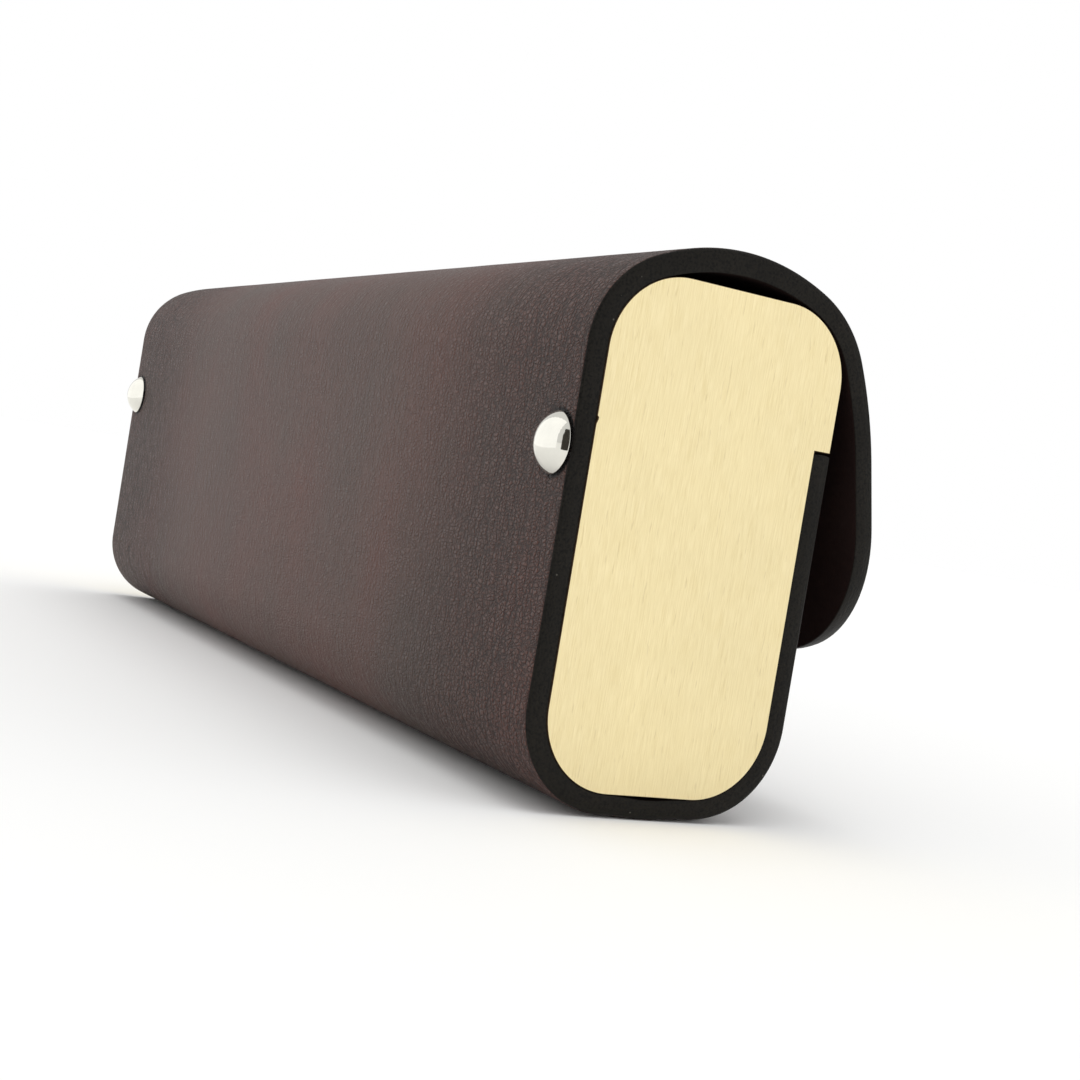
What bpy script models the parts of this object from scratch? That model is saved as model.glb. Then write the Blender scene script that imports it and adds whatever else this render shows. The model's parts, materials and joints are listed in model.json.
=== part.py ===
"""Eyeglasses case: a strip of thick leather wrapped round two wood end blocks.

Metres, +Z up. The origin is the middle of the flat bottom, +X runs along the case,
and the front, where the flap hangs, faces -Y. A place in the case's cross section is
written (front, up): how far forward of the origin, and how high above the bottom.
"""

import math

import bmesh
import bpy
from mathutils import Matrix, Vector

# Clearances
FIT_GAP = 0.0003            # between two pieces that touch
HOLE_PLAY = 0.0003          # round a shank in its hole

# Leather and end blocks
CASE_LENGTH = 0.178
LEATHER = 0.0024
WOOD_HEIGHT = 0.057
WOOD_DEPTH = 0.029          # front to back, below the ledge
WOOD_THICKNESS = 0.0065
LEDGE_STEP = 0.0022         # how far the block stands forward above the ledge
LEDGE_BELOW_TOP = 0.0158
WOOD_CORNER = 0.009         # both bottom corners and the top back corner
WOOD_FRONT_CORNER = 0.0085  # top front corner

# Lid and flap. A turn is in degrees, and a radius is the leather's inner face's
HINGE_BELOW_TOP = 0.014     # fold line of the lid, below the blocks' tops
BACK_TURN = 65.0            # close round the blocks' top back corner
CROWN_TURN = 48.0           # flatter, over the top
FRONT_TURN = 42.0           # loose round the top front corner, as far as the flap's fold
FRONT_LOOSE = 0.0025        # the front bend's radius, over the blocks' own corner
FRONT_SET_BACK = 0.0008     # the front bend's centre, behind the corner's own centre
FLAP_TURN = 12.5            # the flap's slow bend below its fold
FLAP_RADIUS = 0.051
FLAP_DROP = 0.0243          # straight part of the flap, below its bend
FLAP_CORNER = 0.0167        # rounded lower corners
SHUT_ANGLE = 4.7            # how far the flap presses in to meet the snap, in degrees

# Nails
NAIL_HEAD = 0.0035          # radius of the domed head
NAIL_DOME = 0.0022
NAIL_LIP = 0.0003           # upright edge of the head, below its dome
NAIL_SHANK = 0.0008         # radius
NAIL_LENGTH = 0.011
NAIL_POINT = 0.0018
NAIL_BELOW_HINGE = 0.006
NAIL_BELOW_LEDGE = 0.0072
BACK_NAIL_OFF_MIDDLE = 0.0003       # inward from the middle of a block's thickness
FRONT_NAIL_OFF_MIDDLE = 0.0012

# Snap fastener, radii and heights off the leather
STUD_BELOW_LEDGE = 0.0137
CAP_RADIUS = 0.0062
CAP_DOME = 0.0022
CAP_LIP = 0.0006            # upright edge of the cap
CAP_POST = 0.0015
CAP_FLARE = 0.0021
CAP_SET = 0.0002            # the flare's thickness, where the post is set
SOCKET_RADIUS = 0.0048
SOCKET_HEIGHT = 0.0028
SOCKET_BASE = 0.0005
SOCKET_MOUTH = 0.0032
SOCKET_EASE = 0.0004        # taken off the outer edge
SPRING_WIRE = 0.0003
SPRING_INSET = 0.0008       # the spring's middle, behind the socket's rim
SPRING_OPENING = 60.0       # the gap in the spring ring, in degrees
STUD_FLANGE = 0.0042
STUD_FLANGE_UP = 0.0005
STUD_HEAD = 0.0026
STUD_HEAD_DEPTH = 0.0012
STUD_NECK = 0.0022
STUD_HEIGHT = 0.0031
STUD_EASE = 0.0005          # round the head, above and below
STUD_SEAT = 0.0006          # the seat in the head, below its top
STUD_BORE = 0.0013
POST_FLANGE = 0.0045
POST_THICKNESS = 0.0006
POST_EASE = 0.0004
POST_FLARE = 0.0005

# Facets
BEND_STEP = 7.5             # degrees between stations round a bend
DOME_STEPS = 4
TURNED_SIDES = 24

WRAP = WOOD_CORNER + FIT_GAP
BOTTOM_UP = LEATHER + FIT_GAP              # the blocks' bottoms above the floor
WALL_FRONT = WOOD_DEPTH / 2 + FIT_GAP      # inner face of the front wall
WALL_BACK = -WALL_FRONT                    # inner face of the back wall
TOP_UP = BOTTOM_UP + WOOD_HEIGHT           # the blocks' tops
LEDGE_UP = TOP_UP - LEDGE_BELOW_TOP
HINGE_UP = TOP_UP - HINGE_BELOW_TOP
STUD_UP = LEDGE_UP - STUD_BELOW_LEDGE
NAIL_ACROSS = CASE_LENGTH / 2 - WOOD_THICKNESS / 2


# Scene and materials

def clear_scene():
    for old in list(bpy.data.objects):
        bpy.data.objects.remove(old, do_unlink=True)


def finish(name, colour, roughness, metallic=0.0):
    material = bpy.data.materials.new(name)
    material.use_nodes = True
    shader = material.node_tree.nodes["Principled BSDF"]
    shader.inputs["Base Color"].default_value = (*colour, 1.0)
    shader.inputs["Roughness"].default_value = roughness
    shader.inputs["Metallic"].default_value = metallic
    material.diffuse_color = (*colour, 1.0)
    return material


def add_object(name, mesh, material):
    piece = bpy.data.objects.new(name, mesh)
    piece.data.materials.append(material)
    bpy.context.collection.objects.link(piece)
    return piece


def at(across, front, up):
    """A point of the case from its place along the case and in the section."""
    return Vector((across, -front, up))


# Shapes

def turned(name, profile, material):
    """A piece turned about its own +Z. The profile is (radius, height), from bottom to top."""
    sides = TURNED_SIDES
    shape = bmesh.new()
    rings = []
    for radius, height in profile:
        if radius == 0.0:
            rings.append([shape.verts.new((0.0, 0.0, height))])
            continue
        ring = []
        for side in range(sides):
            turn = 2.0 * math.pi * side / sides
            ring.append(shape.verts.new((radius * math.cos(turn), radius * math.sin(turn), height)))
        rings.append(ring)
    closed = len(rings[0]) > 1 and len(rings[-1]) > 1
    pairs = list(zip(rings, rings[1:]))
    if closed:
        pairs.append((rings[-1], rings[0]))
    for low, high in pairs:
        for side in range(sides):
            after = (side + 1) % sides
            if len(low) == 1:
                shape.faces.new((low[0], high[after], high[side]))
            elif len(high) == 1:
                shape.faces.new((low[side], low[after], high[0]))
            else:
                shape.faces.new((low[side], low[after], high[after], high[side]))
    bmesh.ops.recalc_face_normals(shape, faces=shape.faces)
    mesh = bpy.data.meshes.new(name)
    shape.to_mesh(mesh)
    shape.free()
    mesh.shade_smooth()
    mesh.set_sharp_from_angle(angle=math.radians(35.0))
    return add_object(name, mesh, material)


def pivot(name, place, parent=None):
    """An empty on a joint's axis, which carries what turns about it."""
    empty = bpy.data.objects.new(name, None)
    empty.empty_display_size = WOOD_DEPTH
    bpy.context.collection.objects.link(empty)
    empty.matrix_world = Matrix.Translation(place)
    if parent:
        hang(empty, parent)
    return empty


def hang(piece, carrier):
    """Parent a piece to a pivot without moving it."""
    bpy.context.view_layer.update()
    piece.parent = carrier
    piece.matrix_parent_inverse = carrier.matrix_world.inverted()


def aim(piece, place, direction):
    """Put a turned piece at a place with its own +Z along a direction."""
    spin = Vector((0.0, 0.0, 1.0)).rotation_difference(direction)
    piece.matrix_world = Matrix.Translation(place) @ spin.to_matrix().to_4x4()


def drill(piece, name, place, direction, radius, depth):
    """Bore a round hole into a piece, from a place along a direction."""
    profile = [(0.0, 0.0), (radius, 0.0), (radius, depth), (0.0, depth)]
    cutter = turned(name, profile, piece.data.materials[0])
    aim(cutter, place, direction)
    cutter.hide_render = True
    cutter.display_type = "WIRE"
    cut = piece.modifiers.new(name, "BOOLEAN")
    cut.operation = "DIFFERENCE"
    cut.solver = "EXACT"
    cut.object = cutter
    return cutter


def corner(centre, radius, first, last):
    """Points round a corner in the section, from one direction to another in degrees."""
    steps = max(2, round(abs(last - first) / BEND_STEP))
    points = []
    for step in range(steps + 1):
        turn = math.radians(first + (last - first) * step / steps)
        points.append((centre[0] + radius * math.cos(turn), centre[1] + radius * math.sin(turn)))
    return points


# The leather strip: a route in the section that its inner face follows

class Route:
    """The inner face's line. Every bend turns the same way, so the outer face is on the left."""

    def __init__(self, front, up, heading):
        self.front = front
        self.up = up
        self.heading = heading
        self.length = 0.0
        self.stations = []
        self.mark()

    def mark(self):
        self.stations.append((self.front, self.up, self.heading, self.length))

    def straight(self, length):
        self.front += length * math.cos(self.heading)
        self.up += length * math.sin(self.heading)
        self.length += length
        self.mark()

    def bend(self, radius, degrees):
        steps = max(2, round(degrees / BEND_STEP))
        turn = math.radians(degrees) / steps
        for _ in range(steps):
            chord = 2.0 * radius * math.sin(turn / 2.0)
            self.front += chord * math.cos(self.heading - turn / 2.0)
            self.up += chord * math.sin(self.heading - turn / 2.0)
            self.heading -= turn
            self.length += radius * turn
            self.mark()

    def outer(self, station):
        front, up, heading, _ = station
        return (front - LEATHER * math.sin(heading), up + LEATHER * math.cos(heading))


def leather_piece(name, route, half_width, material, inner_trim=0.0):
    """Sweep the leather along a route. half_width gives its half width at a length.

    inner_trim takes the inner face back at the start, so that the fold there can close.
    """
    shape = bmesh.new()
    rings = []
    for index, station in enumerate(route.stations):
        front, up, heading, length = station
        slide = inner_trim if index == 0 else 0.0
        inner = (front + slide * math.cos(heading), up + slide * math.sin(heading))
        outer = route.outer(station)
        half = half_width(length)
        ring = []
        for across, place in ((-half, outer), (half, outer), (half, inner), (-half, inner)):
            ring.append(shape.verts.new(at(across, *place)))
        rings.append(ring)
    for before, after in zip(rings, rings[1:]):
        for side in range(4):
            beside = (side + 1) % 4
            shape.faces.new((before[side], before[beside], after[beside], after[side]))
    shape.faces.new(rings[0])
    shape.faces.new(list(reversed(rings[-1])))
    bmesh.ops.recalc_face_normals(shape, faces=shape.faces)
    mesh = bpy.data.meshes.new(name)
    shape.to_mesh(mesh)
    shape.free()
    mesh.shade_smooth()
    mesh.set_sharp_from_angle(angle=math.radians(35.0))
    return add_object(name, mesh, material)


def full_width(_length):
    return CASE_LENGTH / 2


def body_route():
    """From under the ledge down the front, under the bottom and up the back to the fold."""
    lip_up = LEDGE_UP - FIT_GAP
    bend_up = BOTTOM_UP + WOOD_CORNER
    route = Route(WALL_FRONT, lip_up, math.radians(-90.0))
    route.straight(lip_up - bend_up)
    route.bend(WRAP, 90.0)
    route.straight(WOOD_DEPTH - 2.0 * WOOD_CORNER)
    route.bend(WRAP, 90.0)
    route.straight(HINGE_UP - FIT_GAP / 2.0 - bend_up)
    return route


def lid_route():
    """From the fold up the back and over the top, to the fold of the flap.

    The crown's radius is what carries the leather from the back bend to a front bend
    whose centre keeps its place behind the blocks' top front corner.
    """
    front_radius = WOOD_FRONT_CORNER + FRONT_LOOSE
    corner_centre = WOOD_DEPTH / 2 + LEDGE_STEP - WOOD_FRONT_CORNER
    crown_start = math.sin(math.radians(90.0 - BACK_TURN))
    crown_end = math.sin(math.radians(90.0 - BACK_TURN - CROWN_TURN))
    reach = corner_centre - FRONT_SET_BACK - WALL_BACK
    crown = reach - WRAP * (1.0 - crown_start) - front_radius * crown_end
    route = Route(WALL_BACK, HINGE_UP + FIT_GAP / 2.0, math.radians(90.0))
    route.straight(TOP_UP - WOOD_CORNER - route.up)
    route.bend(WRAP, BACK_TURN)
    route.bend(crown / (crown_start - crown_end), CROWN_TURN)
    route.bend(front_radius, FRONT_TURN)
    return route


def flap_route(lid):
    """On from the lid's end, past the fold, down in front of the case."""
    route = Route(lid.front, lid.up, lid.heading)
    route.straight(FIT_GAP)
    route.stations.clear()
    route.length = 0.0
    route.mark()
    route.bend(FLAP_RADIUS, FLAP_TURN)
    route.straight(FLAP_DROP - FLAP_CORNER)
    straight_end = route.length
    steps = 10
    for step in range(1, steps + 1):
        reach = FLAP_CORNER * math.sin(math.radians(90.0 * step / steps))
        route.straight(straight_end + reach - route.length)
    return route, straight_end


def flap_width(corner_start):
    """Half width of the flap at a length along it, with its rounded lower corners."""
    def half(length):
        past = max(0.0, length - corner_start)
        drop = math.sqrt(max(0.0, FLAP_CORNER ** 2 - past ** 2))
        return CASE_LENGTH / 2 - FLAP_CORNER + drop
    return half


# Wood end blocks

def end_block(name, side, material):
    """A block with its ledge on the front. side is -1 for the left end and 1 for the right."""
    half = WOOD_DEPTH / 2
    outline = corner((half - WOOD_CORNER, BOTTOM_UP + WOOD_CORNER), WOOD_CORNER, -90.0, 0.0)
    outline.append((half, LEDGE_UP))
    outline.append((half + LEDGE_STEP, LEDGE_UP))
    front_corner = (half + LEDGE_STEP - WOOD_FRONT_CORNER, TOP_UP - WOOD_FRONT_CORNER)
    outline += corner(front_corner, WOOD_FRONT_CORNER, 0.0, 90.0)
    outline += corner((WOOD_CORNER - half, TOP_UP - WOOD_CORNER), WOOD_CORNER, 90.0, 180.0)
    outline += corner((WOOD_CORNER - half, BOTTOM_UP + WOOD_CORNER), WOOD_CORNER, 180.0, 270.0)
    outside = side * CASE_LENGTH / 2
    inside = side * (CASE_LENGTH / 2 - WOOD_THICKNESS)
    shape = bmesh.new()
    face = shape.faces.new([shape.verts.new(at(inside, *point)) for point in outline])
    grown = bmesh.ops.extrude_face_region(shape, geom=[face])
    moved = [part for part in grown["geom"] if isinstance(part, bmesh.types.BMVert)]
    bmesh.ops.translate(shape, verts=moved, vec=(outside - inside, 0.0, 0.0))
    bmesh.ops.recalc_face_normals(shape, faces=shape.faces)
    mesh = bpy.data.meshes.new(name)
    shape.to_mesh(mesh)
    shape.free()
    return add_object(name, mesh, material)


# Nails

def nail(name, place, direction, material):
    """A domed nail whose head sits on the leather at a place and whose shank runs inward."""
    under = FIT_GAP
    rise = NAIL_DOME - NAIL_LIP
    ball = (NAIL_HEAD ** 2 + rise ** 2) / (2.0 * rise)
    widest = math.asin(NAIL_HEAD / ball)
    profile = [(0.0, under + NAIL_DOME)]
    for step in range(1, DOME_STEPS + 1):
        turn = widest * step / DOME_STEPS
        drop = ball * (1.0 - math.cos(turn))
        profile.append((ball * math.sin(turn), under + NAIL_DOME - drop))
    profile.append((NAIL_HEAD, under))
    profile.append((NAIL_SHANK, under))
    profile.append((NAIL_SHANK, under - NAIL_LENGTH + NAIL_POINT))
    profile.append((0.0, under - NAIL_LENGTH))
    profile.reverse()
    piece = turned(name, profile, material)
    aim(piece, place, direction)
    return piece


def fasten(name, side, off_middle, block, leather, up, facing, material):
    """Drive a nail through the leather into a block, with a hole in each for its shank."""
    place = at(side * (NAIL_ACROSS - off_middle), facing * (WALL_FRONT + LEATHER), up)
    outward = at(0.0, facing, 0.0)
    nail(name, place, outward, material)
    hole = NAIL_SHANK + HOLE_PLAY
    start = place + outward * LEATHER
    drill(leather, "hole_" + name, start, -outward, hole, 3.0 * LEATHER)
    drill(block, "pilot_" + name, start, -outward, hole, LEATHER + NAIL_LENGTH + HOLE_PLAY)


# Snap fastener

def snap_cap(place, outward, material):
    """Domed cap on the flap's outer face. Its post goes through and is set in the socket."""
    tip = -LEATHER - FIT_GAP - SOCKET_BASE - FIT_GAP
    profile = [(0.0, FIT_GAP + CAP_DOME)]
    for lift in (60.0, 30.0, 0.0):
        turn = math.radians(lift)
        height = FIT_GAP + CAP_LIP + (CAP_DOME - CAP_LIP) * math.sin(turn)
        profile.append((CAP_RADIUS * math.cos(turn), height))
    profile += [(CAP_RADIUS, FIT_GAP), (CAP_POST, FIT_GAP), (CAP_POST, tip), (CAP_FLARE, tip)]
    profile += [(CAP_POST, tip - CAP_SET), (0.0, tip - CAP_SET)]
    profile.reverse()
    piece = turned("snap_cap", profile, material)
    aim(piece, place, outward)
    return piece


def snap_socket(place, inward, material):
    """Ring on the flap's inner face, open towards the stud, with a groove for its spring."""
    hole = CAP_POST + HOLE_PLAY
    groove = SOCKET_MOUTH + SPRING_WIRE + FIT_GAP
    low = SOCKET_HEIGHT - SPRING_INSET - SPRING_WIRE - FIT_GAP
    high = SOCKET_HEIGHT - SPRING_INSET + SPRING_WIRE + FIT_GAP
    profile = [(hole, FIT_GAP), (SOCKET_RADIUS, FIT_GAP)]
    profile.append((SOCKET_RADIUS, SOCKET_HEIGHT - SOCKET_EASE))
    profile += [(SOCKET_RADIUS - SOCKET_EASE, SOCKET_HEIGHT), (SOCKET_MOUTH, SOCKET_HEIGHT)]
    profile += [(SOCKET_MOUTH, high), (groove, high), (groove, low), (SOCKET_MOUTH, low)]
    profile += [(SOCKET_MOUTH, FIT_GAP + SOCKET_BASE), (hole, FIT_GAP + SOCKET_BASE)]
    piece = turned("snap_socket", profile, material)
    aim(piece, place, inward)
    return piece


def snap_spring(place, inward, material):
    """Split ring of wire in the socket's groove."""
    radius = SOCKET_MOUTH
    height = SOCKET_HEIGHT - SPRING_INSET
    steps = 20
    sides = 8
    sweep = math.radians(360.0 - SPRING_OPENING)
    shape = bmesh.new()
    rings = []
    for step in range(steps + 1):
        turn = -sweep / 2.0 + sweep * step / steps
        ring = []
        for side in range(sides):
            round_wire = 2.0 * math.pi * side / sides
            reach = radius + SPRING_WIRE * math.cos(round_wire)
            lift = height + SPRING_WIRE * math.sin(round_wire)
            ring.append(shape.verts.new((reach * math.cos(turn), reach * math.sin(turn), lift)))
        rings.append(ring)
    for before, after in zip(rings, rings[1:]):
        for side in range(sides):
            beside = (side + 1) % sides
            shape.faces.new((before[side], before[beside], after[beside], after[side]))
    shape.faces.new(rings[0])
    shape.faces.new(list(reversed(rings[-1])))
    bmesh.ops.recalc_face_normals(shape, faces=shape.faces)
    mesh = bpy.data.meshes.new("snap_socket_spring")
    shape.to_mesh(mesh)
    shape.free()
    mesh.shade_smooth()
    piece = add_object("snap_socket_spring", mesh, material)
    aim(piece, place, inward)
    return piece


def snap_stud(place, outward, material):
    """Stud on the front wall, with a bore for the post and a recess for its flared end."""
    flange_top = FIT_GAP + STUD_FLANGE_UP
    neck_top = STUD_HEIGHT - STUD_HEAD_DEPTH
    seat = STUD_HEIGHT - STUD_SEAT
    mouth = STUD_BORE + POST_FLARE
    profile = [(STUD_BORE, FIT_GAP), (STUD_FLANGE, FIT_GAP), (STUD_FLANGE, flange_top)]
    profile += [(STUD_NECK, flange_top), (STUD_NECK, neck_top), (STUD_HEAD, neck_top + STUD_EASE)]
    profile += [(STUD_HEAD, seat), (STUD_HEAD - STUD_EASE, STUD_HEIGHT)]
    profile += [(mouth, STUD_HEIGHT), (mouth, seat), (STUD_BORE, seat)]
    piece = turned("snap_stud", profile, material)
    aim(piece, place, outward)
    return piece


def snap_post(place, outward, material):
    """Post set from inside the wall. Its flange is inside, its flared end in the stud."""
    shank = STUD_BORE - HOLE_PLAY
    under = -LEATHER - FIT_GAP
    seat = STUD_HEIGHT - STUD_SEAT + HOLE_PLAY
    profile = [(0.0, under - POST_THICKNESS), (POST_FLANGE - POST_EASE, under - POST_THICKNESS)]
    profile += [(POST_FLANGE, under - POST_THICKNESS / 2.0), (POST_FLANGE, under)]
    profile += [(shank, under), (shank, seat), (shank + POST_FLARE, seat), (shank, STUD_HEIGHT)]
    profile += [(0.0, STUD_HEIGHT)]
    piece = turned("snap_post", profile, material)
    aim(piece, place, outward)
    return piece


def flap_snap_place(route, fold, wall_face):
    """The snap's place on the flap's inner face, so that the spring meets the stud.

    Shutting turns the flap by SHUT_ANGLE about its fold. So the stud's line is turned the
    other way about the fold, and crossed with the line that the spring's middle keeps to.
    """
    turn = math.radians(SHUT_ANGLE)
    front = wall_face - fold[0]
    up = STUD_UP - fold[1]
    start = Vector((front * math.cos(turn) - up * math.sin(turn) + fold[0],
                    front * math.sin(turn) + up * math.cos(turn) + fold[1]))
    along = Vector((math.cos(turn), math.sin(turn)))
    face = Vector((math.cos(route.heading), math.sin(route.heading)))
    inward = Vector((face.y, -face.x)) * (SOCKET_HEIGHT - SPRING_INSET)
    foot = Vector((route.front, route.up)) + inward
    gap = foot - start
    cross = along.x * face.y - along.y * face.x
    reach = (gap.x * face.y - gap.y * face.x) / cross
    return start + along * reach - inward


def fold_place(route):
    """The flap's fold: on the outer face, in the middle of the gap after the lid's end."""
    outer = Vector(route.outer(route.stations[-1]))
    return outer + Vector((math.cos(route.heading), math.sin(route.heading))) * FIT_GAP / 2.0


def build_snap(body, flap, flap_path, fold, nickel, black_nickel, spring_steel):
    """The stud and its post on the front wall, and what turns with the flap."""
    wall_face = WALL_FRONT + LEATHER
    outward = at(0.0, 1.0, 0.0)
    stud_place = at(0.0, wall_face, STUD_UP)
    snap_stud(stud_place, outward, black_nickel)
    snap_post(stud_place, outward, black_nickel)
    drill(body, "hole_post", stud_place + outward * LEATHER, -outward, STUD_BORE, 3.0 * LEATHER)

    inner_place = flap_snap_place(flap_path, fold, wall_face)
    facing = at(0.0, -math.sin(flap_path.heading), math.cos(flap_path.heading))
    socket_place = at(0.0, inner_place.x, inner_place.y)
    cap_place = socket_place + facing * LEATHER
    hole = CAP_POST + HOLE_PLAY
    return [
        snap_cap(cap_place, facing, nickel),
        snap_socket(socket_place, -facing, black_nickel),
        snap_spring(socket_place, -facing, spring_steel),
        drill(flap, "hole_cap", cap_place + facing * LEATHER, -facing, hole, 3.0 * LEATHER),
    ]


def build():
    clear_scene()
    leather = finish("leather", (0.095, 0.068, 0.060), 0.55)
    wood = finish("wood", (0.84, 0.72, 0.45), 0.50)
    nickel = finish("nickel", (0.72, 0.71, 0.68), 0.18, 1.0)
    black_nickel = finish("black_nickel", (0.05, 0.05, 0.048), 0.42, 1.0)
    spring_steel = finish("spring_steel", (0.10, 0.10, 0.095), 0.40, 1.0)

    lid_path = lid_route()
    flap_path, corner_start = flap_route(lid_path)
    fold = fold_place(lid_path)
    closing = LEATHER * math.tan(math.radians(SHUT_ANGLE)) + FIT_GAP
    body = leather_piece("leather_body_wrap", body_route(), full_width, leather)
    lid = leather_piece("leather_lid_top", lid_path, full_width, leather)
    flap = leather_piece("leather_flap_front", flap_path, flap_width(corner_start), leather,
                         inner_trim=closing)

    back_up = HINGE_UP - NAIL_BELOW_HINGE
    front_up = LEDGE_UP - NAIL_BELOW_LEDGE
    for end, side in (("left", -1), ("right", 1)):
        block = end_block("wood_end_" + end, side, wood)
        fasten("nail_back_" + end, side, BACK_NAIL_OFF_MIDDLE, block, body, back_up, -1, nickel)
        fasten("nail_front_" + end, side, FRONT_NAIL_OFF_MIDDLE, block, body, front_up, 1, nickel)

    on_flap = build_snap(body, flap, flap_path, fold, nickel, black_nickel, spring_steel)
    lid_fold = pivot("lid_fold", at(0.0, WALL_BACK - LEATHER, HINGE_UP))
    flap_fold = pivot("flap_fold", at(0.0, *fold), parent=lid_fold)
    hang(lid, lid_fold)
    for piece in [flap] + on_flap:
        hang(piece, flap_fold)


build()
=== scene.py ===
"""Looks of an eyeglasses case: a thick leather strip wrapped round two wood end blocks.

Metres, +Z up. +X runs along the case, its back is at +Y and its flap hangs at -Y.
A place in the cross section is (front, up), and front is -Y.
"""

import json
import math

import bmesh
import bpy
from mathutils import Matrix, Quaternion, Vector, noise


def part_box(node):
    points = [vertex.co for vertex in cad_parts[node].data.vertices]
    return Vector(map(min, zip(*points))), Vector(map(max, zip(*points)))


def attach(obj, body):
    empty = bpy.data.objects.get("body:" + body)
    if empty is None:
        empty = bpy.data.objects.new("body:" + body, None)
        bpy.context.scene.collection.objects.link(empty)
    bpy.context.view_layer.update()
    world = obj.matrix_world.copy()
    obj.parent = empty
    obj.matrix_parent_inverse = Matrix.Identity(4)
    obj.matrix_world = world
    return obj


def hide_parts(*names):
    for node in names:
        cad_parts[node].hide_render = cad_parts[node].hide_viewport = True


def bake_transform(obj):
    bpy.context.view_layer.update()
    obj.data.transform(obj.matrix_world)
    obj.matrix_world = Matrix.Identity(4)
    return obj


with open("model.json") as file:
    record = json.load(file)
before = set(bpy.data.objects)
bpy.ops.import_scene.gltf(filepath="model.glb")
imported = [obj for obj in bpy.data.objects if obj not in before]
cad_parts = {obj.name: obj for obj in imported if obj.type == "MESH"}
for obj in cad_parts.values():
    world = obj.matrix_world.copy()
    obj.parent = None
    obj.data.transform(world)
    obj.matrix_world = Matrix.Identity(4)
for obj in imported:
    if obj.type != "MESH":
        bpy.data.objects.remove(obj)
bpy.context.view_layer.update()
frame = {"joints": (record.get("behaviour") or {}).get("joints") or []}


# ---------------------------------------------------------------- table, light and camera
# The case stands on a white table in a light tent, lit most from the roof. A white card
# behind it and a small dark card by its near end are what the polished pieces mirror.

BLOCK_LOW, BLOCK_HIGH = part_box("wood_end_left")
CAMERA_BEYOND_END = 0.1569
CAMERA_BEHIND_BACK = 0.0900
CAMERA_ABOVE_BLOCK_BOTTOM = 0.0319
CAMERA_YAW = math.radians(-28.62)
CAMERA_PITCH = math.radians(-1.73)
CAMERA_ROLL = math.radians(9.45)
LENS = 56.67

lens = bpy.data.cameras.new("camera")
lens.lens = LENS
lens.sensor_width = 36.0
lens.clip_start = 0.005
camera = bpy.data.objects.new("camera", lens)
bpy.context.scene.collection.objects.link(camera)
look = Vector((math.cos(CAMERA_YAW), math.sin(CAMERA_YAW), math.tan(CAMERA_PITCH))).normalized()
camera.rotation_mode = "QUATERNION"
camera.rotation_quaternion = look.to_track_quat("-Z", "Y") @ Quaternion((0, 0, 1), CAMERA_ROLL)
camera.location = (
    BLOCK_LOW.x - CAMERA_BEYOND_END,
    BLOCK_HIGH.y + CAMERA_BEHIND_BACK,
    BLOCK_LOW.z + CAMERA_ABOVE_BLOCK_BOTTOM,
)
bpy.context.scene.camera = camera
bpy.context.scene.view_settings.view_transform = "Standard"


def add_node(tree, kind, settings=(), **inputs):
    """A shader node. An input takes a number, a colour or another node's output."""
    made = tree.nodes.new(kind)
    for name, value in dict(settings).items():
        setattr(made, name, value)
    for name, value in inputs.items():
        socket = made.inputs[int(name[1:]) if name[1:].isdigit() else name.replace("_", " ")]
        if isinstance(value, bpy.types.NodeSocket):
            tree.links.new(value, socket)
        else:
            socket.default_value = value
    return made


def new_material(name):
    """A material with one Principled shader, and its tree."""
    material = bpy.data.materials.new(name)
    material.use_nodes = True
    return material, material.node_tree, material.node_tree.nodes["Principled BSDF"]


def flat_panel(name, width, length, place, facing):
    shape = bmesh.new()
    corners = ((-1, -1), (1, -1), (1, 1), (-1, 1))
    shape.faces.new([shape.verts.new((x * width / 2, y * length / 2, 0)) for x, y in corners])
    mesh = bpy.data.meshes.new(name)
    shape.to_mesh(mesh)
    shape.free()
    made = bpy.data.objects.new(name, mesh)
    bpy.context.scene.collection.objects.link(made)
    turn = Vector(facing).to_track_quat("Z", "Y").to_matrix().to_4x4()
    made.matrix_world = Matrix.Translation(place) @ turn
    return made


TABLE_SIZE = 6.0
TABLE_SHADES = (0.900, 0.900, 0.892, 1), (0.920, 0.920, 0.912, 1)
TABLE_CLOUDS_PER_METRE = 3.0
table = flat_panel("table", TABLE_SIZE, TABLE_SIZE, (0, 0, 0), (0, 0, 1))
table_finish, tree, shader = new_material("table_white")
cloudy = add_node(tree, "ShaderNodeTexNoise", Scale=TABLE_CLOUDS_PER_METRE, Detail=2.0)
tint = add_node(tree, "ShaderNodeMix", {"data_type": "RGBA"}, _0=cloudy.outputs["Fac"],
                _6=TABLE_SHADES[0], _7=TABLE_SHADES[1])
tree.links.new(tint.outputs[2], shader.inputs["Base Color"])
shader.inputs["Roughness"].default_value = 0.8
shader.inputs["Specular IOR Level"].default_value = 0.1
table.data.materials.append(table_finish)


def mirrored_card(name, width, height, foot, facing, colour, glow):
    """A card standing on the table that only polished pieces see."""
    card = flat_panel(name, width, height, Vector(foot) + Vector((0, 0, height / 2)), facing)
    card.visible_camera = False
    card.visible_diffuse = False
    card.visible_shadow = False
    finish, _, shader = new_material(name + "_cloth")
    shader.inputs["Base Color"].default_value = (*colour, 1)
    shader.inputs["Roughness"].default_value = 0.9
    shader.inputs["Emission Color"].default_value = (1, 1, 1, 1)
    shader.inputs["Emission Strength"].default_value = glow
    card.data.materials.append(finish)


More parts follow.
